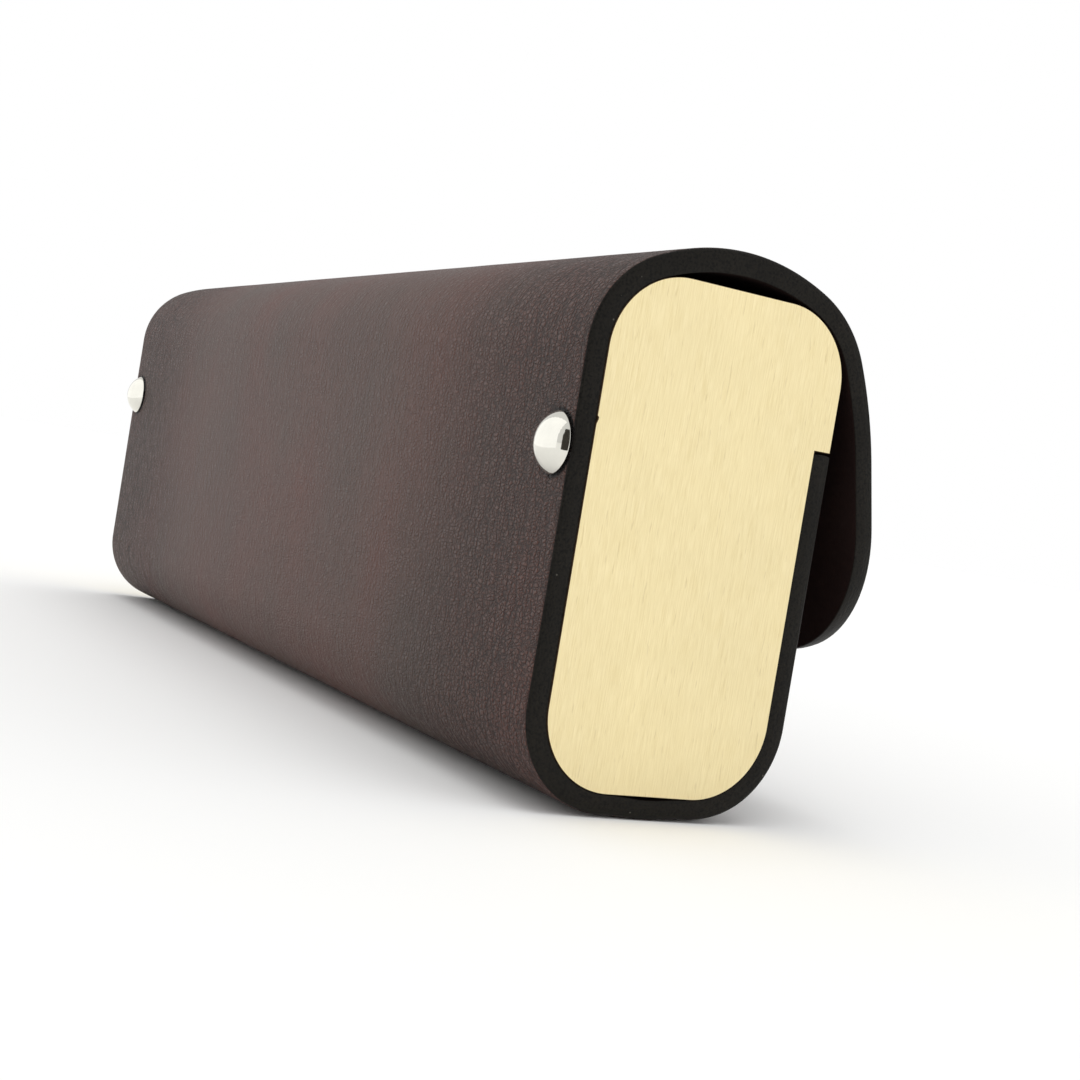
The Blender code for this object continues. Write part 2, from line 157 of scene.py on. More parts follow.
CARD_LIFT = 0.001               # clear of the table
DARK_CARD_SIDE = math.radians(146.0)
DARK_CARD_AWAY = 0.104
DARK_CARD_WIDTH, DARK_CARD_HEIGHT = 0.092, 0.146
DARK_CARD_COLOUR = (0.035, 0.030, 0.024)
WHITE_CARD_ALONG, WHITE_CARD_BEHIND = 0.435, 0.136
WHITE_CARD_WIDTH, WHITE_CARD_HEIGHT = 0.95, 0.35
WHITE_CARD_GLOW = 1.25
near_nail = Vector((BLOCK_LOW.x, BLOCK_HIGH.y, CARD_LIFT))
card_way = Vector((math.cos(DARK_CARD_SIDE), math.sin(DARK_CARD_SIDE), 0.0))
mirrored_card("dark_card", DARK_CARD_WIDTH, DARK_CARD_HEIGHT,
              near_nail + DARK_CARD_AWAY * card_way, -card_way, DARK_CARD_COLOUR, 0.0)
mirrored_card("white_card", WHITE_CARD_WIDTH, WHITE_CARD_HEIGHT,
              near_nail + Vector((WHITE_CARD_ALONG, WHITE_CARD_BEHIND, 0.0)), (0, -1, 0),
              (0.0, 0.0, 0.0), WHITE_CARD_GLOW)

TENT_SEEN, TENT_LIGHT, TENT_MIRRORED = 1.0, 0.885, 0.80
world = bpy.data.worlds.new("light_tent")
world.use_nodes = True
bpy.context.scene.world = world
tree = world.node_tree
ray = add_node(tree, "ShaderNodeLightPath")
lit = add_node(tree, "ShaderNodeMix", _0=ray.outputs["Is Glossy Ray"], _2=TENT_LIGHT,
               _3=TENT_MIRRORED)
seen = add_node(tree, "ShaderNodeMix", _0=ray.outputs["Is Camera Ray"], _2=lit.outputs[0],
                _3=TENT_SEEN)
tree.nodes["Background"].inputs["Color"].default_value = (1, 1, 1, 1)
tree.links.new(seen.outputs[0], tree.nodes["Background"].inputs["Strength"])

ROOF_SPREAD = math.radians(52.0)
ROOF_STRENGTH = 0.85
ROOF_SHINES = (0.10, 0.0, -1.0)
roof = bpy.data.lights.new("tent_roof", "SUN")
roof.energy = ROOF_STRENGTH
roof.angle = ROOF_SPREAD
roof_lamp = bpy.data.objects.new("tent_roof", roof)
bpy.context.scene.collection.objects.link(roof_lamp)
roof_lamp.rotation_mode = "QUATERNION"
roof_lamp.rotation_quaternion = Vector(ROOF_SHINES).to_track_quat("-Z", "Y")
roof_lamp.visible_glossy = False


# ---------------------------------------------------------------- leather strip
# One strip of thick leather, dyed dark brown, with its cut edges rounded and painted
# black. It is cut flat, then wrapped round the blocks from the ledge on their
# fronts, under, up the back and over the top, and ends in the flap that hangs in front.

LEATHER_TO_WOOD = 0.0003
BLOCK_CORNER = 0.009
BLOCK_FRONT_CORNER = 0.0085
LEDGE_BELOW_TOP = 0.0158
BACK_TURN, CROWN_TURN, FRONT_TURN, FLAP_TURN = 65.0, 48.0, 42.0, 12.5
FRONT_LOOSE = 0.0025
FRONT_SET_BACK = 0.0008
FLAP_RADIUS = 0.051
FLAP_DROP = 0.0243
FLAP_CORNER = 0.0167
GRAIN_FACE, FLESH_FACE = 0.00225, -0.00026      # from the route, outward
GRAIN_SAG, FLESH_SAG = 0.00015, 0.00034         # further out under the blocks' flat bottoms
CROWN_FULL = 0.00022                            # fuller over the top, where nothing presses it
CROWN_FULL_BEFORE, CROWN_FULL_AFTER = 0.007, 0.006
CORNER_DRAW, CORNER_REACH = 0.00022, 0.0050     # drawn thinner round the two bottom corners
EDGE_ROUND = 0.00045
EDGE_ROUND_INSIDE = 0.00012
EDGE_CROWN = 0.00008
NAIL_SEAT_DEPTH = 0.00022
NAIL_SEAT_EDGE, NAIL_SEAT_SLOPE = 0.0035, 0.0006
NAIL_SHADOW_FROM, NAIL_SHADOW_TO = 0.0036, 0.0040   # painted shadow in the seat under and just round a head
WAVINESS = 0.00005
BROAD_WAVES, SMALL_WAVES = (38.0, 22.0), (95.0, 60.0)       # per metre, across and along
EDGE_STEPS, EDGE_FLAT_STEPS, EDGE_STEPS_INSIDE = 6, 6, 3
PAINT_FROM_STEP = 2
LEATHER_SHARP = 40.0                            # an edge is sharp above this many degrees

LID_FOLD = Vector(next(j["pos_m"] for j in frame["joints"] if j["name"] == "lid_fold"))
HALF_LENGTH = -BLOCK_LOW.x
WALL = BLOCK_HIGH.y + LEATHER_TO_WOOD
LIP_UP = BLOCK_HIGH.z - LEDGE_BELOW_TOP - LEATHER_TO_WOOD


class Route:
    """The line in the section that the leather's inner face follows."""

    def __init__(self, front, up, heading):
        self.end = (front, up, math.radians(heading))
        self.length = 0.0
        self.runs = []

    def run(self, length, radius=None):
        """A straight run or, with a radius, a bend to the right."""
        self.runs.append((self.length, self.end, radius))
        self.length += length
        self.end = self.at(self.length)

    def bend(self, radius, degrees):
        self.run(radius * math.radians(degrees), radius)

    def at(self, length):
        """(front, up, heading) at a length from the start."""
        begun, (front, up, heading), radius = next(
            run for run in reversed(self.runs) if length >= run[0] or run is self.runs[0])
        past = length - begun
        if radius is None:
            return front + past * math.cos(heading), up + past * math.sin(heading), heading
        turn = past / radius
        return (front + radius * (math.sin(heading) - math.sin(heading - turn)),
                up + radius * (math.cos(heading - turn) - math.cos(heading)), heading - turn)


wrap_radius = BLOCK_CORNER + LEATHER_TO_WOOD
front_radius = BLOCK_FRONT_CORNER + FRONT_LOOSE
crown_start = math.sin(math.radians(90.0 - BACK_TURN))
crown_end = math.sin(math.radians(90.0 - BACK_TURN - CROWN_TURN))
crown_reach = (-BLOCK_LOW.y - BLOCK_FRONT_CORNER - FRONT_SET_BACK + WALL
               - wrap_radius * (1.0 - crown_start) - front_radius * crown_end)
strip = Route(WALL, LIP_UP, -90.0)
strip.run(LIP_UP - BLOCK_LOW.z - BLOCK_CORNER)
front_corner_at = strip.length
strip.bend(wrap_radius, 90.0)
bottom_from = strip.length
strip.run(2.0 * (BLOCK_HIGH.y - BLOCK_CORNER))
bottom_to = strip.length
strip.bend(wrap_radius, 90.0)
back_wall_at = strip.length
strip.run(LID_FOLD.z - BLOCK_LOW.z - BLOCK_CORNER)
lid_fold_at = strip.length
strip.run(BLOCK_HIGH.z - BLOCK_CORNER - LID_FOLD.z)
strip.bend(wrap_radius, BACK_TURN)
crown_at = strip.length
strip.bend(crown_reach / (crown_start - crown_end), CROWN_TURN)
front_bend_at = strip.length
strip.bend(front_radius, FRONT_TURN)
strip.run(LEATHER_TO_WOOD)
flap_fold_at = strip.length - LEATHER_TO_WOOD / 2.0
strip.bend(FLAP_RADIUS, FLAP_TURN)
flap_straight_at = strip.length
strip.run(FLAP_DROP)
seam_at = (crown_at + front_bend_at) / 2.0

nail_seats = []
for node in ("nail_back_left", "nail_back_right", "nail_front_left", "nail_front_right"):
    low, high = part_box(node)
    middle = (low + high) / 2.0
    seat_at = LIP_UP - middle.z if middle.y < 0 else lid_fold_at - (LID_FOLD.z - middle.z)
    nail_seats.append((middle.x, seat_at))


def uneven(across, length):
    """How far the grain face lies off its even place: pressed in by nails, and a little wavy."""
    wave = noise.noise(Vector((across * BROAD_WAVES[0], length * BROAD_WAVES[1], 4.0)))
    wave += 0.5 * noise.noise(
        Vector((across * SMALL_WAVES[0], length * SMALL_WAVES[1], 9.0)))
    nearest = min(math.hypot(across - x, length - s) for x, s in nail_seats)
    rise = min(1.0, max(0.0, (nearest - NAIL_SEAT_EDGE) / NAIL_SEAT_SLOPE))
    pressed = 1.0 - rise * rise * (3.0 - 2.0 * rise)
    return WAVINESS * wave - NAIL_SEAT_DEPTH * pressed


def hump(length, start, end):
    """A smooth rise and fall between two lengths, 1 in the middle."""
    return math.sin(math.pi * min(1.0, max(0.0, (length - start) / (end - start)))) ** 2


def wrapped(across, length, share):
    """Where a place in the flat strip lies once wrapped. Share runs from flesh to grain."""
    front, up, heading = strip.at(length)
    drawn = sum(math.exp(-((length - corner) / CORNER_REACH) ** 2)
                for corner in (bottom_from, bottom_to))
    sag = hump(length, bottom_from, bottom_to)
    full = hump(length, crown_at - CROWN_FULL_BEFORE, front_bend_at + CROWN_FULL_AFTER)
    flesh = FLESH_FACE + FLESH_SAG * sag
    grain = GRAIN_FACE + GRAIN_SAG * sag + uneven(across, length) * (1.0 - sag)
    grain += CROWN_FULL * full - CORNER_DRAW * drawn
    out = flesh + (grain - flesh) * share
    return Vector((across, -(front - out * math.sin(heading)), up + out * math.cos(heading)))


def edge_profile():
    """(inset, share, painted) round the cut edge, from the grain face to the flesh face."""
    thick = GRAIN_FACE - FLESH_FACE
    profile = []
    for step in range(EDGE_STEPS + 1):
        turn = math.radians(90.0 * step / EDGE_STEPS)
        profile.append((EDGE_CROWN + EDGE_ROUND * (1.0 - math.sin(turn)),
                        1.0 - EDGE_ROUND * (1.0 - math.cos(turn)) / thick,
                        step >= PAINT_FROM_STEP))
    top, bottom = 1.0 - EDGE_ROUND / thick, EDGE_ROUND_INSIDE / thick
    for step in range(1, EDGE_FLAT_STEPS):
        way = step / EDGE_FLAT_STEPS
        profile.append((EDGE_CROWN * (2.0 * way - 1.0) ** 2, top + (bottom - top) * way, True))
    for step in range(EDGE_STEPS_INSIDE + 1):
        turn = math.radians(90.0 * step / EDGE_STEPS_INSIDE)
        profile.append((EDGE_CROWN + EDGE_ROUND_INSIDE * (1.0 - math.cos(turn)),
                        (EDGE_ROUND_INSIDE / thick) * (1.0 - math.sin(turn)), True))
    return profile


def add_piece(name, shape, sharp_above, finishes):
    """An object of a finished shape, smooth but for its edges sharper than an angle."""
    mesh = bpy.data.meshes.new(name)
    shape.to_mesh(mesh)
    shape.free()
    mesh.shade_smooth()
    mesh.set_sharp_from_angle(angle=math.radians(sharp_above))
    for finish in finishes:
        mesh.materials.append(finish)
    piece = bpy.data.objects.new(name, mesh)
    bpy.context.scene.collection.objects.link(piece)
    return piece


def cut_strip(name, rows, shares, finishes):
    """A closed piece of the strip, cut flat and then wrapped.

    A row is (length, half width, pull, draw): pull and draw are how much of the edge's inset
    the row moves back along the strip and in from the ends. Shares place the columns.
    """
    profile = edge_profile()
    shape = bmesh.new()
    flat = shape.verts.layers.float_vector.new("flat_place")

    def vertex(row, column, inset, share):
        length, half, pull, draw = rows[row]
        across = shares[column] * (half - inset * draw)
        there = length - inset * pull
        made = shape.verts.new(wrapped(across, there, share))
        made[flat] = (across, there, share * (GRAIN_FACE - FLESH_FACE))
        return made

    last, wide = len(rows) - 1, len(shares) - 1
    edge = [(0, column) for column in range(wide)]
    edge += [(row, wide) for row in range(last)]
    edge += [(last, column) for column in range(wide, 0, -1)]
    edge += [(row, 0) for row in range(last, 0, -1)]
    loops = []
    for finish, (inset, share, _) in ((0, profile[0]), (1, profile[-1])):
        grid = [[vertex(row, column, inset, share) for column in range(wide + 1)]
                for row in range(last + 1)]
        for row in range(last):
            for column in range(wide):
                made = shape.faces.new((grid[row][column], grid[row][column + 1],
                                        grid[row + 1][column + 1], grid[row + 1][column]))
                made.material_index = finish
        loops.append([grid[row][column] for row, column in edge])
    stack = [loops[0]]
    stack += [[vertex(row, column, inset, share) for row, column in edge]
              for inset, share, _ in profile[1:-1]]
    stack.append(loops[1])
    for level, (over, under) in enumerate(zip(stack, stack[1:])):
        for index in range(len(edge)):
            beside = (index + 1) % len(edge)
            made = shape.faces.new((over[index], over[beside], under[beside], under[index]))
            made.material_index = 2 if profile[level][2] else 0
    bmesh.ops.recalc_face_normals(shape, faces=shape.faces)
    piece = add_piece(name, shape, LEATHER_SHARP, finishes)
    return piece


def spread(first, last, step):
    """Lengths from first up to, but not with, last, about a step apart."""
    count = max(1, round((last - first) / step))
    return [first + (last - first) * index / count for index in range(count)]


# Mottling: slow cloudy change in shade, as hand-dyed and handled surfaces have.
mottling = bpy.data.node_groups.new("mottling", "ShaderNodeTree")
mottling.interface.new_socket("Place", in_out="INPUT", socket_type="NodeSocketVector")
mottling.interface.new_socket("Patches per metre", in_out="INPUT", socket_type="NodeSocketFloat")
mottling.interface.new_socket("Darkest", in_out="INPUT", socket_type="NodeSocketFloat")
mottling.interface.new_socket("Shade", in_out="OUTPUT", socket_type="NodeSocketFloat")
group_in = mottling.nodes.new("NodeGroupInput")
group_out = mottling.nodes.new("NodeGroupOutput")
broad = add_node(mottling, "ShaderNodeTexNoise", Vector=group_in.outputs["Place"],
                 Scale=group_in.outputs["Patches per metre"], Detail=5.0, Roughness=0.6)
shade = add_node(mottling, "ShaderNodeMapRange", Value=broad.outputs["Fac"], From_Min=0.3,
                 From_Max=0.7, To_Min=group_in.outputs["Darkest"], To_Max=1.0)
mottling.links.new(shade.outputs["Result"], group_out.inputs["Shade"])


def mottled(tree, place, patches, darkest):
    made = tree.nodes.new("ShaderNodeGroup")
    made.node_tree = mottling
    tree.links.new(place, made.inputs["Place"])
    made.inputs["Patches per metre"].default_value = patches
    made.inputs["Darkest"].default_value = darkest
    return made.outputs["Shade"]


def maths(tree, operation, first, second=0.0, third=0.0, clamp=False):
    made = add_node(tree, "ShaderNodeMath", {"operation": operation, "use_clamp": clamp},
                    _0=first, _1=second, _2=third)
    return made.outputs[0]


def blended(tree, share, first, second, way="MIX"):
    made = add_node(tree, "ShaderNodeMix", {"data_type": "RGBA", "blend_type": way},
                    _0=share, _6=first, _7=second)
    return made.outputs[2]


def stretched(tree, place, across, along, deep=1.0):
    made = add_node(tree, "ShaderNodeVectorMath", {"operation": "MULTIPLY"}, _0=place,
                    _1=(across, along, deep))
    return made.outputs[0]


def ramped(tree, value, low, high):
    """0 below low, 1 above high, eased between."""
    made = add_node(tree, "ShaderNodeMapRange", {"interpolation_type": "SMOOTHSTEP"},
                    Value=value, From_Min=low, From_Max=high)
    return made.outputs["Result"]


def flat_place(tree):
    """A place on the strip before it was wrapped, which no fold moves."""
    made = add_node(tree, "ShaderNodeAttribute", {"attribute_name": "flat_place"})
    return made.outputs["Vector"]


PEBBLES_PER_METRE, PITS_PER_METRE, FOLDS_PER_METRE = 2500.0, 4600.0, 700.0
PEBBLE_WANDER, PEBBLE_WANDERS_PER_METRE = 0.0007, 1100.0
WORKED_FROM, WORKED_TO = 0.035, 0.080           # from the middle, where the grain grows stronger
GRAIN_DYES = (0.1020, 0.0320, 0.0205, 1), (0.0710, 0.0385, 0.0275, 1)
GRAIN_RELIEF = 0.00030
FLESH_DYES = (0.0060, 0.0026, 0.0024, 1), (0.0140, 0.0062, 0.0056, 1)
FLESH_RAISED = (0.024, 0.0120, 0.0105, 1)
PAINT_SHADES = (0.0012, 0.0010, 0.0006, 1), (0.0125, 0.0105, 0.0078, 1)
PAINT_DUST = (0.35, 0.33, 0.28, 1)
FIBRE_RELIEF = PAINT_RELIEF = 0.00012


def grain_leather():
    """The dyed grain face: small pebbles, fine creases up the strip, and a low polish."""
    material, tree, shader = new_material("leather_grain_side")
    place = flat_place(tree)
    wander = add_node(tree, "ShaderNodeTexNoise", Vector=place,
                      Scale=PEBBLE_WANDERS_PER_METRE, Detail=3.0)
    bent = add_node(tree, "ShaderNodeVectorMath", {"operation": "MULTIPLY_ADD"},
                    _0=wander.outputs["Color"], _1=(PEBBLE_WANDER, PEBBLE_WANDER, 0.0),
                    _2=place).outputs[0]
    cells = add_node(tree, "ShaderNodeTexVoronoi", {"feature": "DISTANCE_TO_EDGE"},
                     Vector=stretched(tree, bent, 0.42, 1.0), Scale=PEBBLES_PER_METRE)
    pebble = ramped(tree, cells.outputs["Distance"], 0.0, 0.26)
    pits = add_node(tree, "ShaderNodeTexNoise", Vector=stretched(tree, bent, 0.45, 1.0),
                    Scale=PITS_PER_METRE, Detail=2.0)
    pit = ramped(tree, pits.outputs["Fac"], 0.36, 0.52)
    folds = add_node(tree, "ShaderNodeTexVoronoi", {"feature": "DISTANCE_TO_EDGE"},
                     Vector=stretched(tree, bent, 1.0, 0.30), Scale=FOLDS_PER_METRE)
    fold = ramped(tree, folds.outputs["Distance"], 0.0, 0.17)
    flats = mottled(tree, stretched(tree, place, 1.0, 0.45), 90.0, 0.0)
    smooth = ramped(tree, flats, 0.60, 1.0)
    fold = maths(tree, "MAXIMUM", fold, smooth)
    height = maths(tree, "MULTIPLY", maths(tree, "MULTIPLY_ADD", pebble, 0.75, 0.25),
                   maths(tree, "MULTIPLY_ADD", pit, 0.40, 0.60))
    height = maths(tree, "MULTIPLY", height, maths(tree, "MULTIPLY_ADD", fold, 0.65, 0.35))
    across = add_node(tree, "ShaderNodeSeparateXYZ", Vector=place).outputs["X"]
    worked = ramped(tree, maths(tree, "ABSOLUTE", across), WORKED_FROM, WORKED_TO)
    depth = maths(tree, "MULTIPLY_ADD", worked, 0.50, 0.50)
    sunk = maths(tree, "MULTIPLY", maths(tree, "SUBTRACT", height, 1.0), depth)
    height = maths(tree, "ADD", 1.0, sunk)
    ruddy = mottled(tree, stretched(tree, place, 1.0, 0.6), 42.0, 0.0)
    base = blended(tree, ruddy, *GRAIN_DYES)
    cloud = mottled(tree, place, 20.0, 0.86)
    base = blended(tree, 1.0, base, cloud, "MULTIPLY")
    # Painted shade: the base colour is darkened down into the grain's pits and folds, where shade
    # falls.
    painted_shade = maths(tree, "MULTIPLY_ADD", height, 1.50, 0.16, clamp=True)
    aside = add_node(tree, "ShaderNodeVectorMath", {"operation": "ABSOLUTE"}, _0=place).outputs[0]
    # Painted shadow: the leather's colour is darkened under each nail head and in a thin ring
    # just round its rim, where the head shades its seat.
    for middle in sorted({(round(abs(x), 5), round(s, 5)) for x, s in nail_seats}):
        away = add_node(tree, "ShaderNodeVectorMath", {"operation": "DISTANCE"},
                        _0=stretched(tree, aside, 1.0, 1.0, 0.0), _1=(*middle, 0.0))
        under = ramped(tree, away.outputs["Value"], NAIL_SHADOW_FROM, NAIL_SHADOW_TO)
        painted_shade = maths(tree, "MULTIPLY", painted_shade, maths(tree, "MULTIPLY_ADD", under, 0.92, 0.08))
    tree.links.new(blended(tree, 1.0, base, painted_shade, "MULTIPLY"), shader.inputs["Base Color"])
    rough = maths(tree, "MULTIPLY_ADD", height, -0.22, 0.64)
    tree.links.new(rough, shader.inputs["Roughness"])
    bump = add_node(tree, "ShaderNodeBump", Strength=1.0, Distance=GRAIN_RELIEF,
                    Height=height)
    tree.links.new(bump.outputs["Normal"], shader.inputs["Normal"])
    shader.inputs["Specular IOR Level"].default_value = 0.33
    return material


def flesh_leather():
    """The inside: the same dye soaked into short raised fibres."""
    material, tree, shader = new_material("leather_flesh_side")
    place = flat_place(tree)
    nap = add_node(tree, "ShaderNodeTexNoise", Vector=stretched(tree, place, 1.0, 0.5),
                   Scale=2600.0, Detail=6.0, Roughness=0.7)
    fibre = add_node(tree, "ShaderNodeTexNoise", Vector=stretched(tree, place, 0.3, 1.0),
                     Scale=900.0, Detail=4.0, Distortion=1.5)
    height = maths(tree, "MULTIPLY_ADD", fibre.outputs["Fac"], 0.5, nap.outputs["Fac"])
    dye = mottled(tree, place, 70.0, 0.6)
    base = blended(tree, dye, *FLESH_DYES)
    raised = maths(tree, "SUBTRACT", nap.outputs["Fac"], 0.25, clamp=True)
    colour = blended(tree, raised, base, FLESH_RAISED)
    tree.links.new(colour, shader.inputs["Base Color"])
    rough = maths(tree, "MULTIPLY_ADD", nap.outputs["Fac"], 0.12, 0.84)
    tree.links.new(rough, shader.inputs["Roughness"])
    shader.inputs["Specular IOR Level"].default_value = 0.12
    bump = add_node(tree, "ShaderNodeBump", Strength=0.6, Distance=FIBRE_RELIEF,
                    Height=height)
    tree.links.new(bump.outputs["Normal"], shader.inputs["Normal"])
    return material


def edge_paint():
    """Black edge paint over the rounded cut: matt, faintly layered, with a few dust specks."""
    material, tree, shader = new_material("leather_edge_paint")
    place = flat_place(tree)
    layers = add_node(tree, "ShaderNodeTexNoise", Vector=stretched(tree, place, 0.3, 0.2),
                      Scale=2500.0, Detail=3.0)
    grit = add_node(tree, "ShaderNodeTexNoise", Vector=place, Scale=3600.0, Detail=3.0)
    specks = add_node(tree, "ShaderNodeTexVoronoi", Vector=place, Scale=420.0)
    speck = maths(tree, "LESS_THAN", specks.outputs["Distance"], 0.045)
    shade = mottled(tree, place, 150.0, 0.60)
    gritty = maths(tree, "MULTIPLY_ADD", grit.outputs["Fac"], 4.0, -1.2, clamp=True)
    shade = maths(tree, "MULTIPLY", shade, gritty)
    base = blended(tree, shade, *PAINT_SHADES)
    colour = blended(tree, maths(tree, "MULTIPLY", speck, 0.20), base, PAINT_DUST)
    tree.links.new(colour, shader.inputs["Base Color"])
    rough = maths(tree, "MULTIPLY_ADD", grit.outputs["Fac"], 0.22, 0.42)
    tree.links.new(rough, shader.inputs["Roughness"])
    height = maths(tree, "MULTIPLY_ADD", grit.outputs["Fac"], 0.4, layers.outputs["Fac"])
    bump = add_node(tree, "ShaderNodeBump", Strength=0.8, Distance=PAINT_RELIEF,
                    Height=height)
    tree.links.new(bump.outputs["Normal"], shader.inputs["Normal"])
    shader.inputs["Specular IOR Level"].default_value = 0.15
    return material


strip_finishes = (grain_leather(), flesh_leather(), edge_paint())
FINE, MIDDLING = 0.0004, 0.0012                 # between rows, at the bends and between them
FIRST_ROW, SECOND_ROW = EDGE_ROUND + 0.0006, 0.0018
FINE_BEFORE_LID_FOLD, FINE_AFTER_FLAP_FOLD = 0.011, 0.006
FIRST_COLUMN, FINE_FROM_COLUMN = 0.03, 0.84     # columns are shares of the half width
COLUMN_STEP, FINE_COLUMN_STEP = 0.028, 0.0055
half_columns = [0.0] + spread(FIRST_COLUMN, FINE_FROM_COLUMN, COLUMN_STEP)
half_columns += spread(FINE_FROM_COLUMN, 1.0, FINE_COLUMN_STEP) + [1.0]
columns = [-share for share in reversed(half_columns[1:])] + half_columns

lengths = [FIRST_ROW]
lengths += spread(SECOND_ROW, front_corner_at, MIDDLING)
lengths += spread(front_corner_at, back_wall_at, FINE)
lengths += spread(back_wall_at, lid_fold_at - FINE_BEFORE_LID_FOLD, MIDDLING)
lengths += spread(lid_fold_at - FINE_BEFORE_LID_FOLD, seam_at, FINE)
wrap_rows = [(0.0, HALF_LENGTH, -1.0, 1.0)]
wrap_rows += [(length, HALF_LENGTH, 0.0, 1.0) for length in lengths + [seam_at]]
wrap_piece = cut_strip("leather_wrap_and_lid", wrap_rows, columns, strip_finishes)
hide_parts("leather_body_wrap", "leather_lid_top")
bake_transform(wrap_piece)

corner_at = strip.length - FLAP_CORNER
CORNER_STEPS = 24
lengths = spread(seam_at, flap_fold_at + FINE_AFTER_FLAP_FOLD, FINE)
lengths += spread(flap_fold_at + FINE_AFTER_FLAP_FOLD, corner_at, MIDDLING)
flap_rows = [(length, HALF_LENGTH, 0.0, 1.0) for length in lengths]
for step in range(CORNER_STEPS + 1):
    turn = math.radians(90.0 * step / CORNER_STEPS)
    flap_rows.append((corner_at + FLAP_CORNER * math.sin(turn),
                      HALF_LENGTH - FLAP_CORNER * (1.0 - math.cos(turn)),
                      math.sin(turn), math.cos(turn)))
flap_piece = cut_strip("leather_lid_and_flap", flap_rows, columns, strip_finishes)
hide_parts("leather_flap_front")
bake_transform(flap_piece)


# ---------------------------------------------------------------- wood end blocks
# Two blocks of pale birch, cut by laser, which leaves a thin scorched line round each face
# and a small nick where the cut began. Their faces are sanded and left bare.

LEDGE_STEP = 0.0022
SCORCH = 0.00006
NICK = 0.00018
NICK_UP = 0.0405
ARC_STEP = 2.5
BLOCK_SHARP = 40.0
BIRCH_STREAKS = (0.850, 0.705, 0.375, 1), (0.985, 0.850, 0.515, 1)
BIRCH_BAND = (0.960, 0.820, 0.480, 1)
BIRCH_PORE = (0.55, 0.40, 0.17, 1)
BIRCH_BURNT = (0.012, 0.008, 0.005, 1), (0.100, 0.058, 0.027, 1)
BIRCH_RELIEF = 0.00004


def arc(centre, radius, first, last):
    steps = round(abs(last - first) / ARC_STEP)
    turns = [math.radians(first + (last - first) * step / steps) for step in range(steps + 1)]
    return [(centre[0] + radius * math.cos(turn), centre[1] + radius * math.sin(turn))
            for turn in turns]


def birch(scorched):
    """Bare birch: fine straight grain up the block, short dark pores, soft growth bands."""
    material, tree, shader = new_material("birch_scorched" if scorched else "birch_face")
    place = add_node(tree, "ShaderNodeTexCoord").outputs["Object"]
    drift = add_node(tree, "ShaderNodeTexNoise", Vector=stretched(tree, place, 1.0, 1.0, 0.5),
                     Scale=40.0, Detail=2.0)
    swayed = add_node(tree, "ShaderNodeVectorMath", {"operation": "MULTIPLY_ADD"},
                      _0=drift.outputs["Color"], _1=(0.0, 0.0015, 0.0), _2=place).outputs[0]
    fine = add_node(tree, "ShaderNodeTexNoise", Vector=stretched(tree, swayed, 1.0, 1.0, 0.040),
                    Scale=7000.0, Detail=4.0, Roughness=0.7)
    bands = add_node(tree, "ShaderNodeTexNoise", Vector=stretched(tree, swayed, 0.3, 1.0, 0.06),
                     Scale=520.0, Detail=3.0)
    pores = add_node(tree, "ShaderNodeTexNoise", Vector=stretched(tree, swayed, 1.0, 1.0, 0.11),
                     Scale=3600.0, Detail=1.0)
    pore = ramped(tree, pores.outputs["Fac"], 0.66, 0.78)
    streak = ramped(tree, fine.outputs["Fac"], 0.30, 0.70)
    band = ramped(tree, bands.outputs["Fac"], 0.32, 0.68)
    base = blended(tree, streak, *BIRCH_STREAKS)
    base = blended(tree, maths(tree, "MULTIPLY", band, 0.30), base, BIRCH_BAND)
    base = blended(tree, maths(tree, "MULTIPLY", pore, 0.28), base, BIRCH_PORE)
    shade = mottled(tree, place, 90.0, 0.96)
    colour = blended(tree, 1.0, base, shade, "MULTIPLY")
    if scorched:
        burn = mottled(tree, stretched(tree, place, 0.12, 1.0), 1500.0, 0.25)
        colour = blended(tree, burn, *BIRCH_BURNT)
    tree.links.new(colour, shader.inputs["Base Color"])
    rough = maths(tree, "MULTIPLY_ADD", streak, -0.10, 0.66)
    tree.links.new(rough, shader.inputs["Roughness"])
    height = maths(tree, "MULTIPLY_ADD", pore, -0.8, streak)
    bump = add_node(tree, "ShaderNodeBump", Strength=0.25, Distance=BIRCH_RELIEF,
                    Height=height)
    tree.links.new(bump.outputs["Normal"], shader.inputs["Normal"])
    shader.inputs["Specular IOR Level"].default_value = 0.25
    return material


